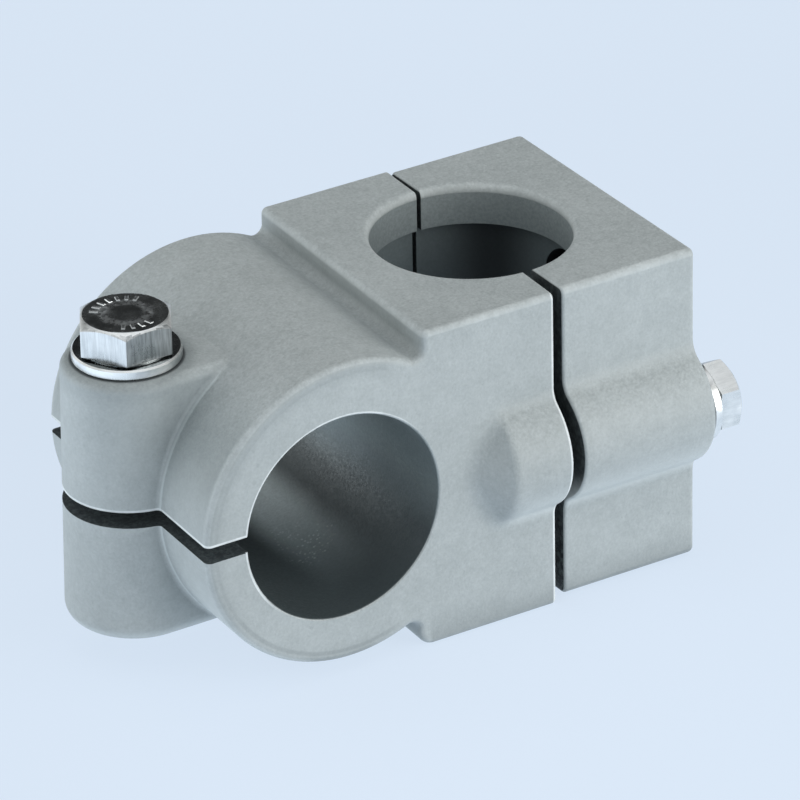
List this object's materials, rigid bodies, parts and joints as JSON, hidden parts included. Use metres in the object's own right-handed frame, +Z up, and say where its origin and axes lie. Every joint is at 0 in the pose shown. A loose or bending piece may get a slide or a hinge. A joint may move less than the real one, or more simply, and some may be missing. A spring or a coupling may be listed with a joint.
{
  "type": "cross tube clamp block",
  "caption": "Cross clamp block that joins round tubes at a right angle: a split barrel with a level bore beside a square block with an upright bore and a bolted cap.",
  "frame": {"origin": "on the axis of the upright bore, at mid-height of the square block", "axes": "+Z up along the upright bore, +Y to the rear along the level bore, +X to the right, from the barrel towards the cap"},
  "size_m": [0.098, 0.0588, 0.0543],
  "materials": {
    "casting": "blasted matte casting",
    "zinc_bolt": "bright zinc plated",
    "zinc_washer": "bright zinc plated"
  },
  "bodies": {
    "body": {"clamp_body": "casting"},
    "cap": {"clamp_cap": "casting", "front_cap_washer": "zinc_washer", "rear_cap_washer": "zinc_washer"},
    "front_bolt": {"front_cap_bolt": "zinc_bolt"},
    "rear_bolt": {"rear_cap_bolt": "zinc_bolt"},
    "washer": {"barrel_washer": "zinc_washer"},
    "clamp_bolt": {"barrel_bolt": "zinc_bolt"}
  },
  "joints": [
    {"name": "cap_slide", "type": "slide", "parent": "body", "child": "cap", "axis": [1, 0, 0], "range_m": [0, 0.004]},
    {"name": "front_bolt_turn", "type": "hinge", "parent": "cap", "child": "front_bolt", "pos_m": [0.0254, -0.0226, 0], "axis": [1, 0, 0], "range_deg": [0, 1441]},
    {"name": "rear_bolt_turn", "type": "hinge", "parent": "cap", "child": "rear_bolt", "pos_m": [0.0254, 0.0226, 0], "axis": [1, 0, 0], "range_deg": [0, 1441]},
    {"name": "washer_slide", "type": "slide", "parent": "body", "child": "washer", "axis": [0, 0, 1], "range_m": [0, 0.00502]},
    {"name": "barrel_bolt_turn", "type": "hinge", "parent": "washer", "child": "clamp_bolt", "pos_m": [-0.0582, 0, 0.0234], "axis": [0, 0, 1], "range_deg": [0, 1440]}
  ],
  "couplings": [
    {"joint": "front_bolt_turn", "follows": "cap_slide", "rad_per_m": 6283.2},
    {"joint": "rear_bolt_turn", "follows": "cap_slide", "rad_per_m": 6283.2},
    {"joint": "washer_slide", "follows": "barrel_bolt_turn", "m_per_rad": 0.00019894}
  ]
}
